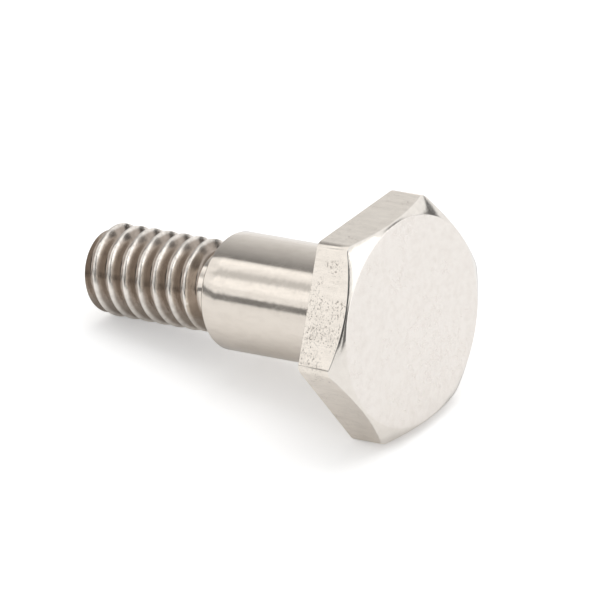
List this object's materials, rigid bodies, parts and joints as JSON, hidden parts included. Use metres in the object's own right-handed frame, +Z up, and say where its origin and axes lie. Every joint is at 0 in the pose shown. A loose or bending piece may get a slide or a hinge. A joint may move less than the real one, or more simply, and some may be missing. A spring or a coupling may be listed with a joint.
{
  "type": "shoulder bolt",
  "caption": "Hex-head shoulder bolt: thin chamfered hexagon head, plain ground shoulder, relief groove and a shorter coarse thread of smaller diameter.",
  "frame": {"origin": "on the bolt's axis, in the plane of the bearing face under the head, where the shoulder starts", "axes": "+Z up as the bolt rests on a floor, on one flat of its head and the thread's crest near the tip; +X out of the head's top in plan, so the threaded tip points to -X and dips by the resting tilt; +Y across the bolt"},
  "size_m": [0.0266, 0.0164, 0.0146],
  "materials": {
    "steel": "turned and drawn stainless steel, satin, with fine tool marks"
  },
  "bodies": {
    "root": {"shoulder_bolt": "steel"}
  },
  "joints": []
}
